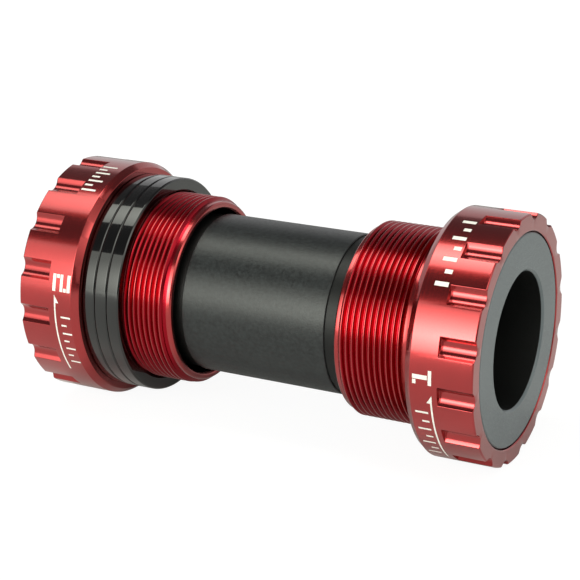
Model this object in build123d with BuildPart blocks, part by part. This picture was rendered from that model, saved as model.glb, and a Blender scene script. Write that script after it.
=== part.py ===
"""Threaded bottom bracket with outboard bearings, for a 24 mm crank spindle.

The spindle turns about Y. +Y points to the left (non-drive) side, +X forward and +Z up.
The origin is on the spindle's axis, halfway between the outer faces of the two cups.
Every paired piece is drawn as it stands on the left, and mirrored for the right.
"""

import os
from math import cos, radians, sin

from build123d import *

os.makedirs("parts", exist_ok=True)

# ---------------------------------------------------------------- driving dimensions, mm
overall_length = 88.0

# Spindle and its bush
spindle_radius = 12.0
spindle_clearance = 0.02
bush_wall = 0.48
bush_fit_gap = 0.01

# Cup flange, where the tool grips
flange_radius = 22.0
flange_width = 12.2
edge_break = 0.2
shoulder_bevel_length = 1.2
shoulder_bevel_height = 0.9
notch_count = 16
notch_cutter_radius = 2.0
notch_depth = 1.1
notch_length = 6.2
left_notch_angle = 12.7
right_notch_angle = 17.5

# Cup barrel, with a 1.37 in x 24 thread
thread_radius = 17.4
thread_pitch = 25.4 / 24
thread_depth = 0.65
thread_crest = 0.2
thread_root = 0.12
left_barrel_length = 15.2
right_barrel_length = 16.4
left_thread_angle = 69.2
right_thread_angle = 198.1
pilot_drop = 0.75
pilot_length = 0.9
end_bevel = 0.3
relief_depth = 0.9
relief_width = 1.0
land_drop = 0.1
land_width = 1.6
barrel_wall = 2.1
mouth_bevel = 0.35

# Bearing, 25 x 37 x 7
bearing_depth = 1.9
bearing_section = 6.0
bearing_width = 7.0
bearing_seat_gap = 0.01
ball_count = 17
ball_radius = 1.75
ball_gap = 0.05
land_offset = 1.2
ring_edge_break = 0.3
seal_thickness = 0.6
seal_recess = 0.25
seal_seat_depth = 0.5
seal_lip_depth = 0.2
seal_gap = 0.1
cage_wall = 1.1
cage_width = 4.4
pocket_gap = 0.07
seat_relief_drop = 0.2
seat_relief_length = 0.7

# Dust cover
cover_recess = 0.3
cover_thickness = 1.2
cover_rim_gap = 0.2
cover_boss_drop = 0.4
cover_bore_bevel = 0.43
pocket_step = 0.4
bush_end_gap = 0.5

# Centre sleeve
sleeve_drop = 0.8
sleeve_wall = 1.4
spigot_drop = 0.3
left_step_gap = 2.8
right_step_gap = 1.0
sleeve_step_bevel = 0.15
sleeve_end_gap = 1.0
left_sleeve_reach = 2.2
collar_clearance = 0.05
collar_length = 3.2
o_ring_cord_radius = 0.6
o_ring_clearance = 0.03
o_ring_groove_clearance = 0.05

# Spacer rings on the right barrel
spacer_count = 3
spacer_width = 2.5
spacer_wall = 2.4
spacer_clearance = 0.2
spacer_bevel = 0.25

# ---------------------------------------------------------------- sizes that follow
face = overall_length / 2
shoulder = face - flange_width
bearing_face = face - bearing_depth
bearing_middle = bearing_face - bearing_width / 2
bearing_back = bearing_face - bearing_width
bush_bore_radius = spindle_radius + spindle_clearance
bearing_bore_radius = bush_bore_radius + bush_wall
bearing_radius = bearing_bore_radius + bearing_section
bush_radius = bearing_bore_radius - bush_fit_gap
ball_circle_radius = (bearing_bore_radius + bearing_radius) / 2
inner_land_radius = ball_circle_radius - land_offset
outer_land_radius = ball_circle_radius + land_offset
race_radius = ball_radius + ball_gap
seal_seat_radius = outer_land_radius + seal_seat_depth
seal_lip_radius = inner_land_radius - seal_lip_depth
seal_seat_length = seal_recess + seal_thickness
seat_relief_radius = outer_land_radius - seat_relief_drop
pocket_radius = bearing_radius + pocket_step
cover_boss_radius = inner_land_radius - cover_boss_drop
pilot_radius = thread_radius - pilot_drop
cup_bore_radius = thread_radius - barrel_wall
bore_start = bearing_back - seat_relief_length
collar_radius = cup_bore_radius - collar_clearance
o_ring_centre_radius = cup_bore_radius - o_ring_clearance - o_ring_cord_radius
o_ring_floor_radius = o_ring_centre_radius - o_ring_cord_radius - o_ring_groove_clearance
o_ring_groove_half_width = o_ring_cord_radius + o_ring_groove_clearance
sleeve_radius = cup_bore_radius - sleeve_drop
sleeve_bore_radius = sleeve_radius - sleeve_wall
spigot_radius = sleeve_radius - spigot_drop
sleeve_left_end = bore_start - left_sleeve_reach
sleeve_right_end = bore_start - sleeve_end_gap
sleeve_step_left = shoulder - left_barrel_length - left_step_gap
sleeve_step_right = shoulder - right_barrel_length - right_step_gap
spacer_bore_radius = thread_radius + spacer_clearance
spacer_radius = spacer_bore_radius + spacer_wall


def mirrored(piece):
    """The same piece for the right side."""
    with BuildPart() as twin:
        mirror(piece, about=Plane.XZ)
    return twin.part


def save(piece, name):
    """Label one piece and write its STEP file."""
    piece.label = name
    export_step(piece, f"parts/{name}.step")


# ---------------------------------------------------------------- cups
def thread_groove(barrel_end, start_angle):
    """The V groove between the thread's crests, from the pilot's air to the relief's air."""
    groove_start = barrel_end + pilot_length - thread_pitch
    groove_end = shoulder - land_width - relief_width / 2
    root_radius = thread_radius - thread_depth
    start_direction = (cos(radians(start_angle)), 0, sin(radians(start_angle)))
    start_plane = Plane(origin=(0, groove_start, 0), x_dir=start_direction, z_dir=(0, 1, 0))
    groove_height = groove_end - groove_start
    spiral = start_plane.location * Helix(thread_pitch, groove_height, thread_radius)
    profile_plane = Plane(origin=spiral @ 0, x_dir=start_direction, z_dir=spiral % 0)
    mouth_half = (thread_pitch - thread_crest) / 2
    root_half = thread_root / 2
    flank_slope = (mouth_half - root_half) / thread_depth
    proud = thread_depth / 4
    proud_half = mouth_half + flank_slope * proud
    with BuildPart() as groove:
        with BuildSketch(profile_plane):
            with BuildLine():
                Polyline(
                    (root_radius - thread_radius, -root_half),
                    (proud, -proud_half),
                    (proud, proud_half),
                    (root_radius - thread_radius, root_half),
                    close=True,
                )
            make_face()
        sweep(path=spiral, is_frenet=True)
    return groove.part


def cup(barrel_length, notch_angle, thread_angle):
    """One cup, its outer face towards +Y and its threaded barrel towards the middle."""
    barrel_end = shoulder - barrel_length
    thread_start = barrel_end + pilot_length
    land_radius = thread_radius - land_drop
    relief_radius = thread_radius - relief_depth
    relief_end = shoulder - land_width
    relief_start = relief_end - relief_width
    outside = thread_radius + thread_depth
    with BuildPart() as body:
        # The barrel starts as a plain tube, so that its thread is cut before any step is turned.
        with BuildSketch(Plane.XY):
            with Locations(((cup_bore_radius + thread_radius) / 2, shoulder - barrel_length / 2)):
                Rectangle(thread_radius - cup_bore_radius, barrel_length)
        revolve(axis=Axis.Y)
        add(thread_groove(barrel_end, thread_angle), mode=Mode.SUBTRACT)
        # Pilot and bevel at the free end, then the relief and the land beside the flange.
        with BuildSketch(Plane.XY):
            with BuildLine():
                Polyline(
                    (outside, barrel_end),
                    (outside, thread_start + outside - pilot_radius),
                    (pilot_radius, thread_start),
                    (pilot_radius, barrel_end + end_bevel),
                    (pilot_radius - end_bevel, barrel_end),
                    close=True,
                )
            make_face()
            with Locations(((relief_radius + outside) / 2, (relief_start + relief_end) / 2)):
                Rectangle(outside - relief_radius, relief_width)
            with Locations(((land_radius + outside) / 2, (relief_end + shoulder) / 2)):
                Rectangle(outside - land_radius, land_width)
            with BuildLine():
                Polyline(
                    (cup_bore_radius, barrel_end),
                    (cup_bore_radius + mouth_bevel, barrel_end),
                    (cup_bore_radius, barrel_end + mouth_bevel),
                    close=True,
                )
            make_face()
        revolve(axis=Axis.Y, mode=Mode.SUBTRACT)
        # Flange with the bearing's seat and the pocket for the dust cover.
        with BuildSketch(Plane.XY):
            with BuildLine():
                Polyline(
                    (pocket_radius, face),
                    (flange_radius - edge_break, face),
                    (flange_radius, face - edge_break),
                    (flange_radius, shoulder + shoulder_bevel_length),
                    (flange_radius - shoulder_bevel_height, shoulder),
                    (cup_bore_radius, shoulder),
                    (cup_bore_radius, bore_start),
                    (seat_relief_radius, bore_start),
                    (seat_relief_radius, bearing_back),
                    (bearing_radius + bearing_seat_gap, bearing_back),
                    (bearing_radius + bearing_seat_gap, bearing_face),
                    (pocket_radius, bearing_face),
                    close=True,
                )
            make_face()
        revolve(axis=Axis.Y)
        with BuildSketch(Plane.XZ.offset(-face)):
            notch_circle_radius = flange_radius - notch_depth + notch_cutter_radius
            with PolarLocations(notch_circle_radius, notch_count, start_angle=notch_angle):
                Circle(notch_cutter_radius)
        extrude(amount=notch_length, mode=Mode.SUBTRACT)
    return body.part


save(cup(left_barrel_length, left_notch_angle, left_thread_angle), "left_cup")
save(mirrored(cup(right_barrel_length, right_notch_angle, right_thread_angle)), "right_cup")


# ---------------------------------------------------------------- bearings
def bearing_ring(wall_radius, land_radius, seat_radius, seat_length):
    """A bearing ring from its wall to its land, with the ball race and a step for each seal."""
    wall_step = ring_edge_break if wall_radius < land_radius else -ring_edge_break
    with BuildPart() as ring:
        with BuildSketch(Plane.XY):
            with BuildLine():
                Polyline(
                    (wall_radius + wall_step, bearing_face),
                    (wall_radius, bearing_face - ring_edge_break),
                    (wall_radius, bearing_back + ring_edge_break),
                    (wall_radius + wall_step, bearing_back),
                    (seat_radius, bearing_back),
                    (seat_radius, bearing_back + seat_length),
                    (land_radius, bearing_back + seat_length),
                    (land_radius, bearing_face - seat_length),
                    (seat_radius, bearing_face - seat_length),
                    (seat_radius, bearing_face),
                    close=True,
                )
            make_face()
            with Locations((ball_circle_radius, bearing_middle)):
                Circle(race_radius, mode=Mode.SUBTRACT)
        revolve(axis=Axis.Y)
    return ring.part


def ball_set():
    """The bearing's balls, as separate solids on their circle."""
    with BuildPart(Plane.XZ.offset(-bearing_middle)) as balls:
        with PolarLocations(ball_circle_radius, ball_count):
            Sphere(ball_radius)
    return balls.part


def ball_cage():
    """The ring that keeps the balls apart, with a pocket drilled through it for each ball."""
    with BuildPart(Plane.XZ.offset(-bearing_middle)) as cage:
        with BuildSketch(Plane.XZ.offset(-bearing_middle)):
            Circle(ball_circle_radius + cage_wall / 2)
            Circle(ball_circle_radius - cage_wall / 2, mode=Mode.SUBTRACT)
        extrude(amount=cage_width / 2, both=True)
        with PolarLocations(ball_circle_radius, ball_count):
            Cylinder(ball_radius + pocket_gap, 2 * cage_wall, rotation=(0, 90, 0), mode=Mode.SUBTRACT)
    return cage.part


def bearing_seal(outer_plane):
    """A rubber seal, seated in the outer ring and just clear of the inner ring."""
    with BuildPart() as seal:
        with BuildSketch(Plane.XZ.offset(-outer_plane)):
            Circle(seal_seat_radius - bearing_seat_gap)
            Circle(seal_lip_radius + seal_gap, mode=Mode.SUBTRACT)
        extrude(amount=seal_thickness)
    return seal.part


def dust_cover():
    """The cover disc in the cup's face, with the thin bush that lines the bearing for the spindle."""
    outer = face - cover_recess
    back = outer - cover_thickness
    rim_radius = pocket_radius - cover_rim_gap
    bush_end = bearing_back + bush_end_gap
    with BuildPart() as cover:
        with BuildSketch(Plane.XY):
            with BuildLine():
                Polyline(
                    (bush_bore_radius + cover_bore_bevel, outer),
                    (rim_radius - edge_break, outer),
                    (rim_radius, outer - edge_break),
                    (rim_radius, back),
                    (cover_boss_radius, back),
                    (cover_boss_radius, bearing_face),
                    (bush_radius, bearing_face),
                    (bush_radius, bush_end),
                    (bush_bore_radius, bush_end),
                    (bush_bore_radius, outer - cover_bore_bevel),
                    close=True,
                )
            make_face()
        revolve(axis=Axis.Y)
    return cover.part


outer_ring = bearing_ring(bearing_radius, outer_land_radius, seal_seat_radius, seal_seat_length)
inner_ring = bearing_ring(bearing_bore_radius, inner_land_radius, seal_lip_radius, seal_seat_length + seal_gap)
left_pieces = {
    "bearing_outer_ring": outer_ring,
    "bearing_inner_ring": inner_ring,
    "bearing_balls": ball_set(),
    "ball_cage": ball_cage(),
    "outer_seal": bearing_seal(bearing_face - seal_recess),
    "inner_seal": bearing_seal(bearing_back + seal_recess + seal_thickness),
    "dust_cover": dust_cover(),
}
for piece_name, piece in left_pieces.items():
    save(mirrored(piece), f"right_{piece_name}")
    save(piece, f"left_{piece_name}")


# ---------------------------------------------------------------- sleeve and its O-rings
left_groove = sleeve_left_end - collar_length / 2
right_groove = -sleeve_right_end + collar_length / 2

with BuildPart() as sleeve:
    with BuildSketch(Plane.XY):
        with BuildLine():
            Polyline(
                (sleeve_bore_radius, sleeve_left_end),
                (collar_radius - edge_break, sleeve_left_end),
                (collar_radius, sleeve_left_end - edge_break),
                (collar_radius, left_groove + o_ring_groove_half_width),
                (o_ring_floor_radius, left_groove + o_ring_groove_half_width),
                (o_ring_floor_radius, left_groove - o_ring_groove_half_width),
                (collar_radius, left_groove - o_ring_groove_half_width),
                (collar_radius, sleeve_left_end - collar_length),
                (spigot_radius, sleeve_left_end - collar_length),
                (spigot_radius, sleeve_step_left),
                (sleeve_radius - sleeve_step_bevel, sleeve_step_left),
                (sleeve_radius, sleeve_step_left - sleeve_step_bevel),
                (sleeve_radius, sleeve_step_bevel - sleeve_step_right),
                (sleeve_radius - sleeve_step_bevel, -sleeve_step_right),
                (spigot_radius, -sleeve_step_right),
                (spigot_radius, collar_length - sleeve_right_end),
                (collar_radius, collar_length - sleeve_right_end),
                (collar_radius, right_groove + o_ring_groove_half_width),
                (o_ring_floor_radius, right_groove + o_ring_groove_half_width),
                (o_ring_floor_radius, right_groove - o_ring_groove_half_width),
                (collar_radius, right_groove - o_ring_groove_half_width),
                (collar_radius, edge_break - sleeve_right_end),
                (collar_radius - edge_break, -sleeve_right_end),
                (sleeve_bore_radius, -sleeve_right_end),
                close=True,
            )
        make_face()
    revolve(axis=Axis.Y)
save(sleeve.part, "centre_sleeve")

for o_ring_name, groove_position in {"left_o_ring": left_groove, "right_o_ring": right_groove}.items():
    with BuildPart() as o_ring:
        with BuildSketch(Plane.XY):
            with Locations((o_ring_centre_radius, groove_position)):
                Circle(o_ring_cord_radius)
        revolve(axis=Axis.Y)
    save(o_ring.part, o_ring_name)


# ---------------------------------------------------------------- spacer rings
for spacer_number in range(spacer_count):
    spacer_start = spacer_number * spacer_width - shoulder
    with BuildPart() as spacer:
        with BuildSketch(Plane.XY):
            with Locations(((spacer_bore_radius + spacer_radius) / 2, spacer_start + spacer_width / 2)):
                Rectangle(spacer_radius - spacer_bore_radius, spacer_width)
            chamfer(vertices(), length=spacer_bevel)
        revolve(axis=Axis.Y)
    save(spacer.part, f"spacer_ring_{spacer_number + 1}")
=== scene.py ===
"""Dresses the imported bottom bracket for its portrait.

Two anodised cups, a moulded centre sleeve, three spacer rings and two dust covers are turned as
new pieces. The bearings and O-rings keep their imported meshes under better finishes.

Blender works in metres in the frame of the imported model: the spindle runs along Y, +Y is the
left side, +X is forward and +Z is up. Angles round the spindle start at +X and rise towards +Z.
The fields of the classes are in millimetres and degrees, as on a maker's drawing.
"""

import logging
from collections.abc import Callable, Mapping, Sequence
from dataclasses import dataclass
from enum import Enum
from itertools import pairwise
from math import acos, atan2, cos, degrees, hypot, pi, radians, sin, sqrt
from typing import Any

import bmesh
import bpy
from bpy.types import AreaLight, Material, Node, NodeSocket, NodeTree, Object
from mathutils import Matrix, Vector


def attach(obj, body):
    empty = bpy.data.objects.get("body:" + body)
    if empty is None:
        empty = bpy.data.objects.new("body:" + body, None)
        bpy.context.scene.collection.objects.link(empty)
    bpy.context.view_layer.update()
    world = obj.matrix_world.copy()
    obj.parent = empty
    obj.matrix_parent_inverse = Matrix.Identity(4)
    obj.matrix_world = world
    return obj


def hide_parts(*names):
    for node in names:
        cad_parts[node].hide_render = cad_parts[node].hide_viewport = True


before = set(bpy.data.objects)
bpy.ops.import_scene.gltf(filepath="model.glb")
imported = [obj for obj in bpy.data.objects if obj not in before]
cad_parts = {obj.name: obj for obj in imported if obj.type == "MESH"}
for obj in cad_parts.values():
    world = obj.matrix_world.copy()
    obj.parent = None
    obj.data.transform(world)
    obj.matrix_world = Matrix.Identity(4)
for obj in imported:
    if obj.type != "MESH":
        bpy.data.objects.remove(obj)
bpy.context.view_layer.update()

log = logging.getLogger("bottom_bracket")

MM = 0.001
MERGE_DISTANCE = 1e-6  # metres: vertices this near are one
CUT_DISTANCE = 1e-7  # metres: a cut goes through a vertex this near
SAME_PLACE = 0.01  # mm: how near a vertex is to where it is looked for
SAME_ANGLE = 0.05  # degrees: the same, round the spindle
BEVEL_ANGLE = 28.0  # degrees: sharper edges are bevelled
SHARP_ANGLE = 32.0  # degrees: sharper edges stay edges in the shading
NOISE_SPAN = {"From Min": 0.3, "From Max": 0.7}  # a noise mostly stays between these
SPINDLE_AXIS = (0.0, 1.0, 0.0)
CENTRE = (0.0, 0.0, 0.0)

# A profile's point: its radius and its place along the spindle, mm.
Point = tuple[float, float]
Inputs = Mapping[int | str, Any]


class Side(Enum):
    """The side of the bicycle a piece belongs to, and the sign of its place along the spindle."""

    LEFT = 1
    RIGHT = -1

    @property
    def word(self) -> str:
        """The side's name as it stands in the names of nodes and bodies."""
        return self.name.lower()

    @property
    def cup(self) -> str:
        """The name that the side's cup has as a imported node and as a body."""
        return f"{self.word}_cup"


class Hand(Enum):
    """The hand of a thread."""

    RIGHT_HAND = 1
    LEFT_HAND = -1


# ---- bench work on meshes
def select_only(*pieces: Object) -> None:
    """Selects just these pieces, or nothing at all, and makes the last one active.

    Args:
        pieces: the pieces to select.
    """
    bpy.ops.object.select_all(action="DESELECT")
    for piece in pieces:
        piece.select_set(True)
        bpy.context.view_layer.objects.active = piece


def place(radius: float, along: float, angle: float = 0.0) -> Vector:
    """The point, in metres, at a radius and a place along the spindle in mm and an angle in degrees."""
    turn = radians(angle)
    return Vector((radius * cos(turn), along, radius * sin(turn))) * MM


def radius_of(point: Vector) -> float:
    """A point's distance from the spindle's axis, in mm."""
    return hypot(point.x, point.z) / MM


def angle_from(point: Vector, start: float) -> float:
    """A point's angle past a starting angle, in degrees from -180 to 180."""
    return (degrees(atan2(point.z, point.x)) - start + 180.0) % 360.0 - 180.0


def draw_profile(name: str, profile: Sequence[Point], angle: float = 0.0) -> Object:
    """Draws a profile as a chain of edges, and leaves it in edit mode with all of it selected.

    Args:
        name: the new piece's name.
        profile: its points.
        angle: angle of the plane that the profile lies in, degrees.

    Returns:
        The new piece.
    """
    select_only()
    bpy.ops.mesh.primitive_plane_add(size=MM)
    piece = bpy.context.active_object
    piece.name = piece.data.name = name
    bpy.ops.object.mode_set(mode="EDIT")
    bpy.ops.mesh.select_mode(type="VERT")
    bpy.ops.mesh.select_all(action="SELECT")
    bpy.ops.mesh.merge(type="CENTER")
    corners = [place(radius, along, angle) for radius, along in profile]
    bpy.ops.transform.translate(value=corners[0])
    for start, end in pairwise(corners):
        bpy.ops.mesh.extrude_vertices_move(TRANSFORM_OT_translate={"value": end - start})
    bpy.ops.mesh.select_all(action="SELECT")
    return piece


def spin(steps: int, angle: float, copies: bool = False) -> None:
    """Spins the selection about the spindle by an angle in degrees, as a surface or as copies."""
    bpy.ops.mesh.spin(steps=steps, dupli=copies, angle=radians(angle), center=CENTRE, axis=SPINDLE_AXIS)


def choose(piece: Object, wanted: Callable[[Vector], bool], rims: bool = False) -> None:
    """Selects just the vertices of a piece in edit mode that a test picks by their place.

    Args:
        piece: the piece in edit mode.
        wanted: test on a vertex's place.
        rims: True to select the open edges whose two ends pass the test, in place of vertices.
    """
    bpy.ops.mesh.select_mode(type="EDGE" if rims else "VERT")
    bpy.ops.mesh.select_all(action="DESELECT")
    mesh = bmesh.from_edit_mesh(piece.data)
    if rims:
        open_edges = [edge for edge in mesh.edges if edge.is_boundary]
        chosen = [edge for edge in open_edges if all(wanted(end.co) for end in edge.verts)]
    else:
        chosen = [vertex for vertex in mesh.verts if wanted(vertex.co)]
    for part in chosen:
        part.select = True
    if not rims:
        mesh.select_flush(True)
    bmesh.update_edit_mesh(piece.data)


def fuse(distance: float = MERGE_DISTANCE) -> None:
    """Merges the vertices of the piece in edit mode that lie within a distance in metres."""
    bpy.ops.mesh.select_all(action="SELECT")
    bpy.ops.mesh.remove_doubles(threshold=distance)


def close_up() -> None:
    """Merges the doubles of the piece in edit mode, turns its faces outwards and leaves edit mode."""
    bpy.ops.mesh.select_mode(type="VERT")
    fuse()
    bpy.ops.mesh.normals_make_consistent(inside=False)
    bpy.ops.object.mode_set(mode="OBJECT")


def apply_modifier(piece: Object, kind: str, **settings: Any) -> None:
    """Adds a modifier to the active piece, in object mode, and applies it.

    Args:
        piece: the piece.
        kind: the modifier's type.
        settings: the modifier's own properties.
    """
    modifier = piece.modifiers.new(kind.lower(), kind)
    for setting, value in settings.items():
        setattr(modifier, setting, value)
    bpy.ops.object.modifier_apply(modifier=modifier.name)


def apply_bevel(piece: Object, width: float) -> None:
    """Breaks the sharp edges of the active piece with a small rounded bevel, its width in mm."""
    limit = {"limit_method": "ANGLE", "angle_limit": radians(BEVEL_ANGLE)}
    apply_modifier(piece, "BEVEL", **limit, width=width * MM, segments=2)


def shade(piece: Object, sharper_than: float = SHARP_ANGLE) -> None:
    """Shades a piece smooth between its sharp edges, and keeps its broad faces flat to the light.

    Args:
        piece: the piece, in object mode.
        sharper_than: smallest angle between two faces that stays a sharp edge, degrees.
    """
    select_only(piece)
    bpy.ops.object.shade_smooth_by_angle(angle=radians(sharper_than))
    apply_modifier(piece, "WEIGHTED_NORMAL", keep_sharp=True)


def copy_piece(piece: Object, name: str) -> Object:
    """Copies a piece with a mesh of its own, and leaves the copy active and selected.

    Args:
        piece: the piece to copy.
        name: the copy's name.

    Returns:
        The copy.
    """
    select_only(piece)
    bpy.ops.object.duplicate(linked=False)
    twin = bpy.context.active_object
    twin.name = twin.data.name = name
    return twin


# ---- finishes
def linear(hex_colour: str) -> tuple[float, float, float, float]:
    """Turns an sRGB colour such as "#a0281e" into linear red, green, blue and alpha."""
    shares = [int(hex_colour[i : i + 2], 16) / 255 for i in (1, 3, 5)]
    return *(s / 12.92 if s <= 0.04045 else ((s + 0.055) / 1.055) ** 2.4 for s in shares), 1.0


def feed(tree: NodeTree, node: Node, inputs: Inputs) -> None:
    """Gives a shader node its values and links.

    Args:
        tree: the node tree that it is in.
        node: the node.
        inputs: for each input its value, or the output or the node that is linked to it.
    """
    for socket, value in inputs.items():
        if isinstance(value, Node | NodeSocket):
            source = value.outputs[0] if isinstance(value, Node) else value
            tree.links.new(source, node.inputs[socket])
        else:
            node.inputs[socket].default_value = value


def add_node(tree: NodeTree, kind: str, inputs: Inputs | None = None, **settings: Any) -> Node:
    """Adds a shader node with its settings, values and links.

    Args:
        tree: the node tree it goes into.
        kind: the node's type, without its "ShaderNode" prefix.
        inputs: what its inputs are given.
        settings: the node's own properties.

    Returns:
        The new node.
    """
    node = tree.nodes.new(f"ShaderNode{kind}")
    for setting, value in settings.items():
        setattr(node, setting, value)
    feed(tree, node, inputs or {})
    return node


@dataclass(frozen=True)
class Finish:
    """What every finish has: a colour with soft clouds in it, and a fine relief that also dulls it."""

    name: str
    colour: str
    cloud_colour: str
    cloud_size: float = 9.0
    roughness: float = 0.4
    roughness_spread: float = 0.05
    relief_depth: float = 0.001

    def material(self) -> Material:
        """Makes the finish's material, or finds the one that it made before.

        Returns:
            The material.
        """
        made = bpy.data.materials.get(self.name)
        if made is None:
            made = bpy.data.materials.new(self.name)
            made.use_nodes = True
            self.mix(made.node_tree, made.node_tree.nodes["Principled BSDF"])
        return made

    def relief(self, tree: NodeTree, spot: NodeSocket) -> Node:
        """Draws the height of the fine relief; each way of making a surface has its own."""
        raise NotImplementedError

    def constants(self) -> dict[str, float]:
        """The main shader's values that are the same all over the surface."""
        raise NotImplementedError

    def mix(self, tree: NodeTree, shader: Node) -> None:
        """Mixes the finish from its clouds, its relief and its constants.

        Args:
            tree: the material's nodes.
            shader: the main shader.
        """
        spot = add_node(tree, "TexCoord").outputs["Object"]
        soft = {"Vector": spot, "Scale": 1 / (self.cloud_size * MM), "Detail": 3.0}
        cloud = add_node(tree, "TexNoise", soft)
        shares = add_node(tree, "MapRange", {"Value": cloud, **NOISE_SPAN})
        clear, clouded = linear(self.colour), linear(self.cloud_colour)
        colour = add_node(tree, "MixRGB", {0: shares, 1: clear, 2: clouded})
        height = self.relief(tree, spot)
        low, high = self.roughness - self.roughness_spread, self.roughness + self.roughness_spread
        polish = add_node(tree, "MapRange", {"Value": height, **NOISE_SPAN, "To Min": low, "To Max": high})
        bump = add_node(tree, "Bump", {"Height": height, "Distance": self.relief_depth * MM, "Strength": 1.0})
        feed(tree, shader, {"Base Color": colour, "Roughness": polish, "Normal": bump, **self.constants()})


@dataclass(frozen=True)
class TurnedMetal(Finish):
    """Metal from the lathe: fine lines run round the spindle, under a clear skin if it has one.

    The lines follow the spindle on the rims and the radius on the faces, because both count
    towards the same distance along the turned profile. Real feed marks are about 0.05 mm apart;
    they are drawn wider, because finer ones would not show.
    """

    roughness: float = 0.2
    relief_depth: float = 0.0004
    line_spacing: float = 0.16
    skin: float = 1.0
    skin_roughness: float = 0.12
    skin_ior: float = 1.5

    def relief(self, tree: NodeTree, spot: NodeSocket) -> Node:
        """Draws the feed lines of the lathe.

        Args:
            tree: the material's nodes.
            spot: the place on the piece, metres.

        Returns:
            The node that gives the lines' height.
        """
        along = add_node(tree, "SeparateXYZ", {0: spot}).outputs["Y"]
        flat = add_node(tree, "VectorMath", {0: spot, 1: (1.0, 0.0, 1.0)}, operation="MULTIPLY")
        radius = add_node(tree, "VectorMath", {0: flat}, operation="LENGTH")
        travel = add_node(tree, "Math", {0: along, 1: radius.outputs["Value"]}, operation="ADD")
        inputs = {"W": travel, "Scale": 1 / (self.line_spacing * MM), "Detail": 3.0, "Roughness": 0.6}
        return add_node(tree, "TexNoise", inputs, noise_dimensions="1D")

    def constants(self) -> dict[str, float]:
        """Metal all through, and the clear skin over it."""
        return {
            "Metallic": 1.0,
            "Coat Weight": self.skin,
            "Coat Roughness": self.skin_roughness,
            "Coat IOR": self.skin_ior,
        }


@dataclass(frozen=True)
class Moulded(Finish):
    """Plastic or rubber from a mould, with a fine even grain."""

    roughness: float = 0.45
    relief_depth: float = 0.004
    cloud_size: float = 6.0
    grain_size: float = 0.25
    ior: float = 1.5

    def relief(self, tree: NodeTree, spot: NodeSocket) -> Node:
        """Draws the height of the mould's grain."""
        inputs = {"Vector": spot, "Scale": 1 / (self.grain_size * MM), "Detail": 2.0, "Roughness": 0.55}
        return add_node(tree, "TexNoise", inputs)

    def constants(self) -> dict[str, float]:
        """Plain plastic with its own index of refraction."""
        return {"IOR": self.ior}


# Aluminium, turned and dyed red: a clear deep red with a glassy skin and faint feed lines.
RED_ANODISED = TurnedMetal("red_anodised_turned_aluminium", "#b22d2f", "#a82a2c", roughness=0.2)
# The same aluminium on the thread's flanks and root: a little rougher, with a darker, deeper red and a thin
# skin as painted shade for the light that bounces in the grooves.
RED_THREAD_PAINTED_SHADE = TurnedMetal(
    "red_anodised_thread_painted_groove_shade", "#a31223", "#980f20", roughness=0.24, relief_depth=0.0002, skin=0.12,
)
# Aluminium, turned and dyed black: near black, with sharp pale gloss bands.
BLACK_ANODISED = TurnedMetal(
    "black_anodised_turned_aluminium", "#131314", "#0f0f10", roughness=0.22, skin_roughness=0.05,
    skin_ior=1.64,
)
# Glass-filled nylon, moulded with a spark-eroded grain: soft mottled light on a near-black tube.
BLACK_MOULDED = Moulded(
    "black_moulded_nylon", "#0b0d0f", "#1f2324", roughness=0.355, relief_depth=0.013, cloud_size=0.7,
    grain_size=0.35,
)
# The same nylon where the tool was smooth: even, with a broad dull gloss; its darker colour and weaker gloss
# are painted shade where it goes into the cups.
BLACK_SMOOTH_PAINTED_SHADE = Moulded(
    "black_smooth_nylon_painted_shade", "#060707", "#090a0a", roughness=0.42, relief_depth=0.0005, ior=1.37,
)
# Painted shade for the bush's bore: a near-black matt finish that stands for the dark inside of the hole.
BORE_PAINTED_SHADE = Moulded("bush_bore_painted_shade", "#050606", "#080909", roughness=0.6, ior=1.4)
# Acetal, moulded smooth: a satin slate-grey disc that mirrors its pale surroundings softly.
GREY_MOULDED = Moulded(
    "grey_moulded_acetal", "#687074", "#6e767a", roughness=0.26, roughness_spread=0.03,
    relief_depth=0.0008, cloud_size=12.0, grain_size=0.12,
)
# Chrome steel, ground: a grey satin with fine grinding lines.
GROUND_STEEL = TurnedMetal(
    "ground_bearing_steel", "#cfcfce", "#c4c4c4", roughness=0.24, relief_depth=0.0006, line_spacing=0.1,
    skin=0.0,
)
# Chrome steel, lapped to a mirror: only a breath of oil dulls it.
POLISHED_STEEL = TurnedMetal(
    "lapped_steel_ball", "#d9dadb", "#d0d1d2", roughness=0.08, roughness_spread=0.02, relief_depth=0.0,
    skin=0.0,
)
# Nitrile rubber, pressed: matt black with a fine powdery grain.
BLACK_RUBBER = Moulded("pressed_nitrile_rubber", "#1b1b1b", "#212120", roughness=0.62, grain_size=0.15)
# Nylon, moulded and left its own colour: warm off-white, a little waxy.
CAGE_NYLON = Moulded(
    "natural_moulded_nylon", "#d8d0bb", "#e0d9c6", relief_depth=0.002, grain_size=0.3, ior=1.53,
)
# Two-part ink, pad-printed: dense white with the faint pinholes of the pad.
WHITE_INK = Moulded(
    "white_pad_print_ink", "#dedbd5", "#ebe9e4", roughness=0.5, relief_depth=0.001, cloud_size=1.5,
    grain_size=0.08,
)


# ---- dressing
def hand_over(piece: Object, finish: Finish, body: str, slot: str, *nodes: str) -> None:
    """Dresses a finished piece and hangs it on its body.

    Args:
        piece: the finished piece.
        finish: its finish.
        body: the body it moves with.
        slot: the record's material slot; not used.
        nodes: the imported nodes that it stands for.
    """
    piece.data.materials.clear()
    piece.data.materials.append(finish.material())
    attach(piece, body)
    if nodes:
        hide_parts(*nodes)
    log.info("%s: %d faces, on body %s", piece.name, len(piece.data.polygons), body)


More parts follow.
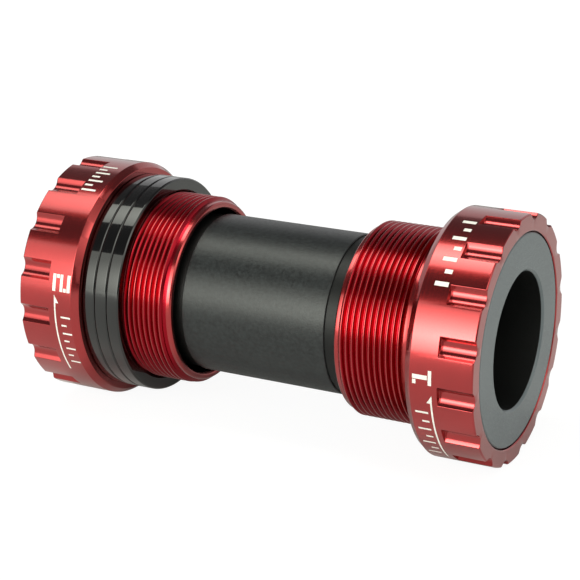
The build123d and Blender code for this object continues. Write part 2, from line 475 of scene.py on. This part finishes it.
def dress_faces(piece: Object, finish: Finish, wanted: Callable[[Vector], bool]) -> None:
    """Gives a further finish to the faces of a piece that a test picks.

    Args:
        piece: the piece, in object mode.
        finish: the further finish.
        wanted: test on the middle of a face.
    """
    piece.data.materials.append(finish.material())
    index = len(piece.data.materials) - 1
    for face in piece.data.polygons:
        if wanted(face.center):
            face.material_index = index


# ---- cups
@dataclass
class Cup:
    """One cup: a notched flange over the bearing, and a threaded barrel towards the middle."""

    side: Side
    hand: Hand
    barrel_length: float
    notch_angle: float
    crest_along: float
    crest_angle: float
    face: float = 43.999
    shoulder: float = 31.8
    flange_radius: float = 21.985
    edge_break: float = 0.2
    shoulder_bevel: Point = (0.9, 1.2)
    notch_count: int = 16
    cutter_radius: float = 2.0
    notch_depth: float = 1.1
    notch_length: float = 6.2
    notch_steps: int = 12
    land_steps: int = 12
    pocket_radius: float = 18.9
    pocket_floor: float = 42.1
    pocket_bevel: float = 0.16
    seat_radius: float = 18.51
    seat_floor: float = 35.1
    step_radius: float = 16.5
    bore_start: float = 34.4
    bore_radius: float = 15.3
    mouth_bevel: float = 0.35
    end_bevel: float = 0.3
    pilot_radius: float = 16.65
    pilot_length: float = 0.9
    thread_radius: float = 17.4
    thread_root_radius: float = 16.75
    thread_pitch: float = 25.4 / 24
    thread_run_out: float = 0.42
    crest_half_width: float = 0.06
    crest_round: float = 0.035
    crest_round_width: float = 0.05
    root_half_width: float = 0.06
    thread_steps: int = 240
    lead_turns: int = 3
    spare_turns: int = 6
    cut_merge: float = 0.006
    rim_tolerance: float = 0.03
    relief_radius: float = 16.5
    relief_width: float = 1.0
    land_radius: float = 17.3
    land_width: float = 1.6
    fine_edge: float = 0.07
    seam_lift: float = 0.05
    sharp_angle: float = 38.0
    slot: str = "red_anodised_aluminium"

    def __post_init__(self) -> None:
        """Works out the sizes that follow from the fields."""
        self.sign = self.side.value
        self.barrel_end = self.shoulder - self.barrel_length
        self.thread_start = self.barrel_end + self.pilot_length
        self.relief_end = self.shoulder - self.land_width
        self.relief_start = self.relief_end - self.relief_width
        self.notch_end = self.face - self.notch_length
        flange, cutter = self.flange_radius, self.cutter_radius
        self.cutter_circle = circle = flange - self.notch_depth + cutter
        self.notch_half_angle = degrees(acos((flange**2 + circle**2 - cutter**2) / (2 * flange * circle)))

    def along_of(self, point: Vector) -> float:
        """A point's distance from the middle of the spindle, towards this side, in mm."""
        return point.y * self.sign / MM

    def notch_floor(self, angle: float) -> float:
        """The radius of a notch's floor, in mm, at an angle from the notch's middle in degrees."""
        reach = self.cutter_circle * sin(radians(angle))
        return self.cutter_circle * cos(radians(angle)) - sqrt(self.cutter_radius**2 - reach**2)

    def body_profile(self) -> list[Point]:
        """The turned profile, open where the thread goes, from the relief round to the pilot.

        Returns:
            The profile.
        """
        bevel_height, bevel_length = self.shoulder_bevel
        flange, pocket, bore, end = self.flange_radius, self.pocket_radius, self.bore_radius, self.barrel_end
        points = [
            (self.relief_radius, self.relief_start),
            (self.relief_radius, self.relief_end),
            (self.land_radius, self.relief_end),
            (self.land_radius, self.shoulder),
            (flange - bevel_height, self.shoulder),
            (flange, self.shoulder + bevel_length),
            (flange, self.notch_end),
            (flange, self.notch_end + self.seam_lift),
            (flange, self.face - self.edge_break),
            (flange - self.edge_break, self.face),
            (pocket + self.pocket_bevel, self.face),
            (pocket, self.face - self.pocket_bevel),
            (pocket, self.pocket_floor),
            (self.seat_radius, self.pocket_floor),
            (self.seat_radius, self.seat_floor),
            (self.step_radius, self.seat_floor),
            (self.step_radius, self.bore_start),
            (bore, self.bore_start),
            (bore, end + self.mouth_bevel),
            (bore + self.mouth_bevel, end),
            (self.pilot_radius - self.end_bevel, end),
            (self.pilot_radius, end + self.end_bevel),
            (self.pilot_radius, self.thread_start),
        ]
        return [(radius, along * self.sign) for radius, along in points]

    def turn_body(self) -> Object:
        """Turns one sector with a notch in it, copies it round, and breaks its edges.

        Returns:
            The body, open where the thread goes.
        """
        sector_angle = 360.0 / self.notch_count
        notch_width = 2 * self.notch_half_angle
        start = self.notch_angle - self.notch_half_angle
        body = draw_profile(f"{self.side.cup}_turned", self.body_profile(), start)
        spin(self.notch_steps, notch_width)
        spin(self.land_steps, sector_angle - notch_width)
        fuse()
        self.mill_notch(body)
        bpy.ops.mesh.select_all(action="SELECT")
        spin(self.notch_count - 1, 360.0 - sector_angle, copies=True)
        close_up()
        apply_bevel(body, self.fine_edge)
        return body

    def mill_notch(self, body: Object) -> None:
        """Pushes the notch's columns of vertices down to the cutter's arc, and closes its end wall.

        Args:
            body: the sector, in edit mode.
        """
        lowest = self.notch_end + self.seam_lift / 2
        column_step = 2 * self.notch_half_angle / self.notch_steps
        for column in range(self.notch_steps // 2):
            offset = column * column_step
            floor = self.notch_floor(offset)
            for ring_radius in (self.flange_radius, self.flange_radius - self.edge_break):

                def in_ring(point: Vector, offset: float = offset, ring_radius: float = ring_radius) -> bool:
                    """Picks one ring's vertices in the pair of columns."""
                    return (
                        self.along_of(point) > lowest
                        and abs(abs(angle_from(point, self.notch_angle)) - offset) < SAME_ANGLE
                        and abs(radius_of(point) - ring_radius) < SAME_PLACE
                    )

                if floor < ring_radius:
                    choose(body, in_ring)
                    share = floor / ring_radius
                    bpy.ops.transform.resize(value=(share, 1.0, share), center_override=CENTRE)

        def on_seam(point: Vector) -> bool:
            """Picks the loop that stands just off the end wall."""
            return abs(self.along_of(point) - self.notch_end - self.seam_lift) < SAME_PLACE

        choose(body, on_seam)
        bpy.ops.transform.translate(value=(0.0, -self.sign * self.seam_lift * MM, 0.0))

    def thread_profile(self) -> list[Point]:
        """One pitch of the thread from root to root, with its crest in the middle.

        Returns:
            The profile.
        """
        crest, root, half_pitch = self.thread_radius, self.thread_root_radius, self.thread_pitch / 2
        half = [
            (crest, self.crest_half_width),
            (crest - self.crest_round, self.crest_half_width + self.crest_round_width),
            (root, half_pitch - self.root_half_width),
            (root, half_pitch),
        ]
        return [(radius, -along) for radius, along in reversed(half)] + half

    def cut_thread(self) -> Object:
        """Winds the thread, and cuts both of its ends off square.

        Returns:
            The thread, open at both ends.
        """
        low, high = self.thread_start + self.thread_run_out, self.relief_start
        turns_below = int((self.crest_along - self.thread_start) / self.thread_pitch) + self.lead_turns
        lead_in = self.crest_along - self.thread_pitch * turns_below
        profile = [(radius, along + self.sign * lead_in) for radius, along in self.thread_profile()]
        thread = draw_profile(f"{self.side.cup}_thread", profile, self.crest_angle)
        bpy.ops.object.mode_set(mode="OBJECT")
        turns = int((high - low) / self.thread_pitch) + self.spare_turns
        rise, steps = self.hand.value * self.thread_pitch * MM, self.thread_steps
        winding = {"axis": "Y", "angle": 2 * pi, "screw_offset": rise, "iterations": turns}
        apply_modifier(thread, "SCREW", **winding, steps=steps, render_steps=steps)
        bpy.ops.object.mode_set(mode="EDIT")
        fuse()
        for along, outwards in ((low, -1), (high, 1)):
            bpy.ops.mesh.select_all(action="SELECT")
            spot, way = (0.0, self.sign * along * MM, 0.0), (0.0, self.sign * outwards, 0.0)
            bpy.ops.mesh.bisect(plane_co=spot, plane_no=way, clear_outer=True, threshold=CUT_DISTANCE)
        fuse(self.cut_merge * MM)
        bpy.ops.object.mode_set(mode="OBJECT")
        return thread

    def join(self, body: Object, thread: Object) -> None:
        """Joins the thread to the body, and closes the mesh between their open rims.

        Args:
            body: the turned body.
            thread: the thread with open ends.
        """
        select_only(thread, body)
        bpy.ops.object.join()
        bpy.ops.object.mode_set(mode="EDIT")
        for places in ((self.thread_start, self.thread_start + self.thread_run_out), (self.relief_start,)):

            def on_rims(point: Vector, places: Sequence[float] = places) -> bool:
                """Picks the two open rims at one end of the thread."""
                return any(abs(self.along_of(point) - along) < self.rim_tolerance for along in places)

            choose(body, on_rims, rims=True)
            bpy.ops.mesh.fill(use_beauty=True)
        close_up()
        shade(body, self.sharp_angle)

    def build(self) -> None:
        """Builds the cup and hangs it on its body."""
        cup = self.turn_body()
        self.join(cup, self.cut_thread())
        cup.name = cup.data.name = f"{self.side.cup}_dressed"
        hand_over(cup, RED_ANODISED, self.side.cup, self.slot, self.side.cup)
        # the thread's flanks and root take the darker, deeper red as painted shade in the grooves
        dress_faces(cup, RED_THREAD_PAINTED_SHADE, self.in_thread_groove)

    def in_thread_groove(self, middle: Vector) -> bool:
        """Picks the faces of the thread's flanks and root by their middle."""
        below_crest = self.pilot_radius < radius_of(middle) < self.thread_radius - self.crest_round
        return below_crest and self.thread_start < self.along_of(middle) < self.relief_start


Bar = tuple[float, float, float, float]


@dataclass
class Marks:
    """The printed marks on a flange: a plain numeral, an arrow the way it tightens, and tick rows.

    Every mark is a thin plate of ink that follows the flange. Bars are given as two angles and
    two distances from the middle of the spindle.
    """

    side: Side
    numeral: list[Bar]
    long_ticks: Bar
    short_ticks: Bar
    arrow_tip: float
    arrow_tail: float
    arrow_along: float
    tick_count: int = 7
    long_tick_share: float = 0.34
    short_tick_share: float = 0.2
    minor_tick_share: float = 0.55
    head_angle: float = 3.9
    head_width: float = 0.95
    head_gap: float = 0.05
    line_width: float = 0.3
    printed_radius: float = 21.992
    ink_thickness: float = 0.008
    step_angle: float = 0.65
    slot: str = "red_anodised_aluminium"

    def patch(self, bar: Bar) -> Object:
        """Draws one bar of ink on the flange.

        Args:
            bar: its two angles and two distances from the middle.

        Returns:
            The bar, a curved sheet in object mode.
        """
        start, end, near, far = bar
        profile = [(self.printed_radius, self.side.value * along) for along in (near, far)]
        sheet = draw_profile("ink_bar", profile, start)
        spin(max(1, round((end - start) / self.step_angle)), end - start)
        bpy.ops.object.mode_set(mode="OBJECT")
        return sheet

    def tick_row(self, area: Bar, share: float) -> list[Bar]:
        """Divides an area into ticks, every other one shorter.

        Args:
            area: the area's two angles and two distances from the middle.
            share: how much of the spacing a tick fills.

        Returns:
            The ticks' bars.
        """
        start, end, near, far = area
        spacing = (end - start) / (self.tick_count - share)
        depth = far - near
        ticks = []
        for number in range(self.tick_count):
            low = start + number * spacing
            length = depth * (1.0 if number % 2 == 0 else self.minor_tick_share)
            ticks.append((low, low + share * spacing, far - length, far))
        return ticks

    def arrow_head(self) -> Object:
        """Draws the arrow's barb by narrowing a bar towards the arrow's straight outer edge.

        Returns:
            The barb, a curved sheet in object mode.
        """
        base = self.arrow_tip - self.head_angle
        head = self.patch((base, self.arrow_tip, self.arrow_along - self.head_width, self.arrow_along))
        bpy.ops.object.mode_set(mode="EDIT")
        steps = round(self.head_angle / self.step_angle)
        for step in range(1, steps + 1):
            here = base + self.head_angle * step / steps

            def in_row(point: Vector, here: float = here) -> bool:
                """Picks one row across the head."""
                return abs(angle_from(point, here)) < SAME_ANGLE

            choose(head, in_row)
            outer_edge = (0.0, self.side.value * self.arrow_along * MM, 0.0)
            bpy.ops.transform.resize(value=(1.0, 1.0 - step / steps, 1.0), center_override=outer_edge)
        fuse()
        bpy.ops.object.mode_set(mode="OBJECT")
        return head

    def build(self) -> None:
        """Builds the marks as one piece of ink on the cup."""
        line_end = self.arrow_tip - self.head_angle - self.head_gap
        line = (self.arrow_tail, line_end, self.arrow_along - self.line_width, self.arrow_along)
        long_row = self.tick_row(self.long_ticks, self.long_tick_share)
        short_row = self.tick_row(self.short_ticks, self.short_tick_share)
        sheets = [self.patch(bar) for bar in (*self.numeral, *long_row, *short_row, line)]
        marks = self.arrow_head()
        select_only(*sheets, marks)
        bpy.ops.object.join()
        marks.name = marks.data.name = f"{self.side.cup}_marks"
        apply_modifier(marks, "SOLIDIFY", thickness=self.ink_thickness * MM, offset=0.0)
        bpy.ops.object.mode_set(mode="EDIT")
        close_up()
        shade(marks)
        hand_over(marks, WHITE_INK, self.side.cup, self.slot)


# ---- sleeve, spacers and covers
@dataclass
class TurnedRing:
    """What every turned ring has: the steps round it, the width of its edge break and its slot."""

    steps: int = 256
    fine_edge: float = 0.05
    slot: str = "black_moulded_plastic"

    def profile(self) -> list[Point]:
        """The corners of the ring's section as radius and place along the spindle, mm."""
        raise NotImplementedError

    def turn(self, name: str) -> Object:
        """Turns the ring from its section.

        Args:
            name: the new piece's name.

        Returns:
            The finished ring in object mode.
        """
        section = self.profile()
        ring = draw_profile(name, [*section, section[0]])
        spin(self.steps, 360.0)
        close_up()
        apply_bevel(ring, self.fine_edge)
        shade(ring)
        return ring


@dataclass
class CentreSleeve(TurnedRing):
    """The moulded tube between the cups, with a collar for an O-ring at each end."""

    radius: float = 14.5
    bore_radius: float = 13.1
    spigot_radius: float = 14.2
    collar_radius: float = 15.25
    collar_length: float = 3.2
    groove_radius: float = 14.02
    groove_half_width: float = 0.65
    step_left: float = 13.8
    step_right: float = -14.4
    step_bevel: float = 0.15
    end_left: float = 32.2
    end_right: float = -33.4
    end_bevel: float = 0.2

    def collar(self, end: float, inwards: int) -> list[Point]:
        """The profile of one end, from the bore round its collar to the spigot.

        Args:
            end: place of the end along the spindle, mm.
            inwards: the sign of the way to the middle.

        Returns:
            The profile.
        """
        near = self.collar_length / 2 - self.groove_half_width
        far = self.collar_length / 2 + self.groove_half_width
        points = [
            (self.bore_radius, 0.0),
            (self.collar_radius - self.end_bevel, 0.0),
            (self.collar_radius, self.end_bevel),
            (self.collar_radius, near),
            (self.groove_radius, near),
            (self.groove_radius, far),
            (self.collar_radius, far),
            (self.collar_radius, self.collar_length),
            (self.spigot_radius, self.collar_length),
        ]
        return [(radius, end + inwards * depth) for radius, depth in points]

    def profile(self) -> list[Point]:
        """The section of the whole sleeve.

        Returns:
            The profile.
        """
        middle = [
            (self.spigot_radius, self.step_left),
            (self.radius - self.step_bevel, self.step_left),
            (self.radius, self.step_left - self.step_bevel),
            (self.radius, self.step_right + self.step_bevel),
            (self.radius - self.step_bevel, self.step_right),
            (self.spigot_radius, self.step_right),
        ]
        return self.collar(self.end_left, -1) + middle + self.collar(self.end_right, 1)[::-1]

    def build(self) -> None:
        """Builds the sleeve and hangs it on its body."""
        sleeve = self.turn("centre_sleeve_dressed")
        hand_over(sleeve, BLACK_MOULDED, "sleeve", self.slot, "centre_sleeve")
        # past the steps the sleeve is smoother, and its darker colour there is painted shade where it goes
        # into the cups
        dress_faces(sleeve, BLACK_SMOOTH_PAINTED_SHADE, self.past_steps)

    def past_steps(self, middle: Vector) -> bool:
        """Picks the faces past the steps, where the sleeve goes into the cups, by their middle."""
        return not self.step_right <= middle.y / MM <= self.step_left


@dataclass
class SpacerStack(TurnedRing):
    """The spacer rings on the right cup's barrel."""

    count: int = 3
    width: float = 2.5
    radius: float = 20.0
    bore_radius: float = 17.6
    first: float = -31.8
    bevel: float = 0.25
    steps: int = 320
    fine_edge: float = 0.06
    slot: str = "black_anodised_aluminium"

    def profile(self) -> list[Point]:
        """The section of the first ring, with all of its corners bevelled.

        Returns:
            The profile.
        """
        low, high, bevel = self.first, self.first + self.width, self.bevel
        inner, outer = self.bore_radius, self.radius
        return [
            (inner + bevel, low),
            (outer - bevel, low),
            (outer, low + bevel),
            (outer, high - bevel),
            (outer - bevel, high),
            (inner + bevel, high),
            (inner, high - bevel),
            (inner, low + bevel),
        ]

    def build(self) -> None:
        """Builds the rings and hangs each on its body."""
        rings = [self.turn("spacer_ring_1_dressed")]
        for number in range(1, self.count):
            rings.append(copy_piece(rings[0], f"spacer_ring_{number + 1}_dressed"))
            bpy.ops.transform.translate(value=(0.0, number * self.width * MM, 0.0))
            bpy.ops.object.transform_apply()
        for number, ring in enumerate(rings, start=1):
            hand_over(ring, BLACK_ANODISED, f"spacer_{number}", self.slot, f"spacer_ring_{number}")


@dataclass
class DustCovers(TurnedRing):
    """The moulded covers in the cups' faces, each with the thin bush that the spindle slides in."""

    outer: float = 43.9
    thickness: float = 1.4
    rim_radius: float = 18.7
    rim_bevel: float = 0.2
    boss_radius: float = 13.9
    bearing_face: float = 42.1
    bush_radius: float = 12.49
    bush_bore: float = 12.02
    bush_end: float = 35.6
    bore_bevel: float = 0.43
    slot: str = "grey_moulded_plastic"

    def profile(self) -> list[Point]:
        """The section of the left cover and its bush.

        Returns:
            The profile.
        """
        back = self.outer - self.thickness
        return [
            (self.bush_bore + self.bore_bevel, self.outer),
            (self.rim_radius - self.rim_bevel, self.outer),
            (self.rim_radius, self.outer - self.rim_bevel),
            (self.rim_radius, back),
            (self.boss_radius, back),
            (self.boss_radius, self.bearing_face),
            (self.bush_radius, self.bearing_face),
            (self.bush_radius, self.bush_end),
            (self.bush_bore, self.bush_end),
            (self.bush_bore, self.outer - self.bore_bevel),
        ]

    def build(self) -> None:
        """Builds the left cover, mirrors it for the right, and hangs both on their bodies."""
        left = self.turn("left_dust_cover_dressed")
        right = copy_piece(left, "right_dust_cover_dressed")
        bpy.ops.transform.resize(value=(1.0, -1.0, 1.0), center_override=CENTRE)
        bpy.ops.object.transform_apply()
        bpy.ops.object.mode_set(mode="EDIT")
        close_up()
        shade(right)
        for side, cover in ((Side.LEFT, left), (Side.RIGHT, right)):
            body, node = f"{side.word}_bush", f"{side.word}_dust_cover"
            hand_over(cover, GREY_MOULDED, body, self.slot, node)
            # the bush's bore is made near-black as painted shade inside the hole
            dress_faces(cover, BORE_PAINTED_SHADE, self.in_bore)

    def in_bore(self, middle: Vector) -> bool:
        """Picks the faces of the bush's bore by their middle."""
        return radius_of(middle) < self.bush_bore + self.fine_edge


@dataclass
class PackedPieces:
    """The bearings and O-rings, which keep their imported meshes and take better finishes."""

    finishes: tuple[tuple[str, Finish], ...] = (
        ("bearing_outer_ring", GROUND_STEEL),
        ("bearing_inner_ring", GROUND_STEEL),
        ("bearing_balls", POLISHED_STEEL),
        ("ball_cage", CAGE_NYLON),
        ("outer_seal", BLACK_RUBBER),
        ("inner_seal", BLACK_RUBBER),
        ("o_ring", BLACK_RUBBER),
    )

    def build(self) -> None:
        """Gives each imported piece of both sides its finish."""
        for side in Side:
            for piece, finish in self.finishes:
                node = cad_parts[f"{side.word}_{piece}"]
                for material_slot in node.material_slots:
                    material_slot.material = finish.material()
                log.info("%s: %s", node.name, finish.name)


# ---- studio
@dataclass(frozen=True)
class SoftBox:
    """A soft box: a glowing panel, brightest at one spot and fading towards its rim.

    Its place is given round the spindle, and one pair of its sides follows the long axis.
    """

    name: str
    angle: float
    width: float
    spot_reach: Point
    rim_radiance: float
    spot_radiance: float
    spot_shift: float = 0.0
    length: float = 900.0
    distance: float = 520.0
    along: float = -250.0
    aim_along: float = -250.0
    long_axis: tuple[float, float, float] = SPINDLE_AXIS
    colour: str = "#fcfff3"

    def build(self) -> None:
        """Hangs the soft box and turns it towards its aim."""
        stand = place(self.distance, self.along, self.angle)
        back = (stand - place(0.0, self.aim_along)).normalized()
        lengthwise = Vector(self.long_axis)
        lengthwise = (lengthwise - back * lengthwise.dot(back)).normalized()
        sideways = back.cross(lengthwise)
        panel = bpy.data.lights.new(self.name, "AREA")
        panel.shape = "RECTANGLE"
        panel.size, panel.size_y = self.length * MM, self.width * MM
        panel.energy = pi * panel.size * panel.size_y
        self.fade(panel, stand + lengthwise * self.spot_shift * MM, lengthwise, sideways)
        lamp = bpy.data.objects.new(self.name, panel)
        bpy.context.scene.collection.objects.link(lamp)
        lamp.matrix_world = Matrix((lengthwise, sideways, back)).transposed().to_4x4()
        lamp.location = stand
        lamp.visible_camera = False

    def fade(self, panel: AreaLight, spot: Vector, lengthwise: Vector, sideways: Vector) -> None:
        """Makes the panel's glow fade away from its brightest spot.

        Args:
            panel: the lamp's data.
            spot: the brightest spot, metres.
            lengthwise: direction of the panel's length.
            sideways: direction of its width.
        """
        panel.use_nodes = True
        tree = panel.node_tree
        here = add_node(tree, "NewGeometry").outputs["Position"]
        away = add_node(tree, "VectorMath", {0: here, 1: spot}, operation="SUBTRACT")
        reaches = [
            add_node(tree, "VectorMath", {0: away, 1: axis / (reach * MM)}, operation="DOT_PRODUCT")
            for axis, reach in zip((lengthwise, sideways), self.spot_reach)
        ]
        offset = add_node(tree, "CombineXYZ", {i: reach.outputs["Value"] for i, reach in enumerate(reaches)})
        glow = add_node(tree, "TexGradient", {0: offset}, gradient_type="QUADRATIC_SPHERE")
        levels = {"Value": glow.outputs["Fac"], "To Min": self.rim_radiance, "To Max": self.spot_radiance}
        strength = add_node(tree, "MapRange", levels)
        feed(tree, tree.nodes["Emission"], {"Color": linear(self.colour), "Strength": strength})


FRONT_BOX = SoftBox(
    "front_soft_box", angle=13.0, width=560.0, spot_reach=(370.0, 320.0), rim_radiance=1.4,
    spot_radiance=10.5, spot_shift=135.0,
)
TOP_BOX = SoftBox(
    "top_soft_box", angle=87.0, width=225.0, spot_reach=(420.0, 260.0), rim_radiance=1.6,
    spot_radiance=6.5, spot_shift=110.0,
)
SIDE_BOX = SoftBox(
    "side_soft_box", angle=65.0, width=540.0, spot_reach=(330.0, 270.0), rim_radiance=0.5,
    spot_radiance=3.0, length=720.0, distance=331.0, along=380.0, aim_along=0.0,
    long_axis=(1.0, 0.0, 0.0),
)


@dataclass
class Studio:
    """The pale floor, the grey tent with its soft boxes, and the camera.

    The floor glows for the eye alone. Metal sees it as plain lit paper, so its mirror glow is nil.
    """

    floor_level: float = -22.05
    floor_size: float = 6000.0
    floor_glow: float = 1.12
    paper: str = "#dadadb"
    eye_glow: float = 0.83
    mirror_glow: float = 0.0
    shadow_reach: Point = (70.0, 230.0)
    tent_radius: float = 1500.0
    tent_segments: int = 72
    tent_rings: int = 90
    tent_radiance: float = 0.13
    backdrop_radiance: float = 0.62
    backdrop_top: float = 35.4
    lit_room: float = 0.25
    camera_place: tuple[float, float, float] = (264.56, 135.94, 100.82)
    camera_azimuth: float = 117.21
    camera_elevation: float = 18.293
    lens: float = 107.43
    sensor: float = 36.0
    clip_range: Point = (10.0, 20000.0)
    lamps: tuple[SoftBox, ...] = (FRONT_BOX, TOP_BOX, SIDE_BOX)

    def seen(self, tree: NodeTree, by_eye: float | Node, by_mirror: float) -> Node:
        """Gives one value to rays from the camera, and one to rays by way of metal or glass.

        Args:
            tree: the nodes of a material or of the world.
            by_eye: the value for a ray straight from the camera.
            by_mirror: the value for a ray by way of metal or glass.

        Returns:
            The node that gives the value, and 0 to every other ray.
        """
        path = add_node(tree, "LightPath").outputs
        bounced = {0: path["Is Glossy Ray"], 1: path["Is Transmission Ray"]}
        mirror = add_node(tree, "Math", bounced, operation="MAXIMUM")
        mirror_share = add_node(tree, "Math", {0: mirror, 1: by_mirror}, operation="MULTIPLY")
        ways = {0: path["Is Camera Ray"], 1: by_eye, 2: mirror_share}
        return add_node(tree, "Math", ways, operation="MULTIPLY_ADD")

    def glow(self, name: str, radiance: float) -> Material:
        """Makes a white material that only glows.

        Args:
            name: the material's name.
            radiance: its strength, where 1 is white.

        Returns:
            The material.
        """
        material = bpy.data.materials.new(name)
        material.use_nodes = True
        tree = material.node_tree
        tree.nodes.remove(tree.nodes["Principled BSDF"])
        light = add_node(tree, "Emission", {"Color": linear("#ffffff"), "Strength": radiance})
        feed(tree, tree.nodes["Material Output"], {"Surface": light})
        material.cycles.emission_sampling = "NONE"
        return material

    def build_floor(self) -> None:
        """Lays the floor, white to the eye but for the part's soft shadow."""
        select_only()
        level = (0.0, 0.0, self.floor_level * MM)
        bpy.ops.mesh.primitive_plane_add(size=self.floor_size * MM, location=level)
        floor = bpy.context.active_object
        floor.name = "studio_floor"
        material = self.glow("matt_white_paper", self.floor_glow)
        tree = material.node_tree
        paper = add_node(tree, "BsdfDiffuse", {"Color": linear(self.paper)})
        spot = add_node(tree, "TexCoord").outputs["Object"]
        away = add_node(tree, "VectorMath", {0: spot}, operation="LENGTH").outputs["Value"]
        near, far = (reach * MM for reach in self.shadow_reach)
        fading = {"Value": away, "From Min": near, "From Max": far, "To Min": self.eye_glow, "To Max": 1.0}
        share = self.seen(tree, add_node(tree, "MapRange", fading), self.mirror_glow)
        mixed = add_node(tree, "MixShader", {0: share, 1: paper, 2: tree.nodes["Emission"]})
        feed(tree, tree.nodes["Material Output"], {"Surface": mixed})
        floor.data.materials.append(material)

    def build_tent(self) -> None:
        """Raises a dim tent over the part, with a pale backdrop low down behind it.

        Only polished surfaces see the tent; the room lights the rest.
        """
        select_only()
        bpy.ops.mesh.primitive_uv_sphere_add(
            segments=self.tent_segments, ring_count=self.tent_rings, radius=self.tent_radius * MM
        )
        tent = bpy.context.active_object
        tent.name = "studio_tent"
        tent.data.materials.append(self.glow("grey_tent_cloth", self.tent_radiance))
        tent.data.materials.append(self.glow("pale_backdrop_cloth", self.backdrop_radiance))
        bpy.ops.object.mode_set(mode="EDIT")
        bpy.ops.mesh.select_all(action="SELECT")
        bpy.ops.mesh.bisect(plane_co=CENTRE, plane_no=(0.0, 0.0, -1.0), clear_outer=True)
        top = sin(radians(self.backdrop_top)) * self.tent_radius * MM

        def on_backdrop(point: Vector) -> bool:
            """Picks the low back part of the tent."""
            return point.x < 0.0 and point.z < top

        choose(tent, on_backdrop)
        tent.active_material_index = 1
        bpy.ops.object.material_slot_assign()
        bpy.ops.object.mode_set(mode="OBJECT")
        tent.visible_camera = tent.visible_diffuse = tent.visible_shadow = False

    def build_world(self) -> None:
        """Paints the room white to the eye and to metal, and pale for the light it gives."""
        world = bpy.data.worlds.new("white_room")
        bpy.context.scene.world = world
        world.use_nodes = True
        world.cycles.sampling_method = "NONE"
        tree = world.node_tree
        seen = self.seen(tree, 1.0, 1.0)
        level = add_node(tree, "MapRange", {"Value": seen, "To Min": self.lit_room, "To Max": 1.0})
        feed(tree, tree.nodes["Background"], {"Color": linear("#ffffff"), "Strength": level})

    def build_camera(self) -> None:
        """Sets up the camera."""
        data = bpy.data.cameras.new("portrait_camera")
        data.sensor_width = self.sensor
        data.lens = self.lens
        data.clip_start, data.clip_end = (reach * MM for reach in self.clip_range)
        camera = bpy.data.objects.new("portrait_camera", data)
        bpy.context.scene.collection.objects.link(camera)
        camera.location = Vector(self.camera_place) * MM
        camera.rotation_euler = (radians(90.0 - self.camera_elevation), 0.0, radians(self.camera_azimuth))
        bpy.context.scene.camera = camera

    def build(self) -> None:
        """Builds the whole studio."""
        self.build_camera()
        self.build_floor()
        self.build_tent()
        self.build_world()
        for lamp in self.lamps:
            lamp.build()
        bpy.context.scene.view_settings.view_transform = "Standard"


def main() -> None:
    """Builds the studio, then every piece in order."""
    logging.basicConfig(level=logging.INFO, format="%(name)s: %(message)s")
    Studio().build()
    Cup(
        Side.LEFT, Hand.RIGHT_HAND, barrel_length=15.2, notch_angle=12.7, crest_along=19.30,
        crest_angle=357.0,
    ).build()
    Cup(
        Side.RIGHT, Hand.LEFT_HAND, barrel_length=16.4, notch_angle=17.5, crest_along=23.756,
        crest_angle=1.84,
    ).build()
    Marks(
        Side.LEFT,
        numeral=[(-2.6, -0.6, 33.5, 36.1), (-5.0, 1.8, 36.25, 36.85), (-5.0, -2.95, 33.5, 34.1)],
        long_ticks=(38.5, 79.0, 35.0, 37.4),
        short_ticks=(-50.0, -15.5, 33.7, 36.0),
        arrow_tip=-9.8, arrow_tail=-53.9, arrow_along=36.85,
    ).build()
    Marks(
        Side.RIGHT,
        numeral=[
            (8.4, 16.6, 33.2, 33.85),
            (8.4, 10.2, 34.0, 34.6),
            (8.4, 16.6, 34.75, 35.35),
            (14.8, 16.6, 35.5, 36.1),
            (8.4, 16.6, 36.25, 36.9),
        ],
        long_ticks=(61.0, 84.0, 34.4, 37.4),
        short_ticks=(-30.0, -1.0, 33.2, 35.2),
        arrow_tip=6.6, arrow_tail=-36.1, arrow_along=36.5,
    ).build()
    CentreSleeve().build()
    SpacerStack().build()
    DustCovers().build()
    PackedPieces().build()


if __name__ == "__main__":
    main()
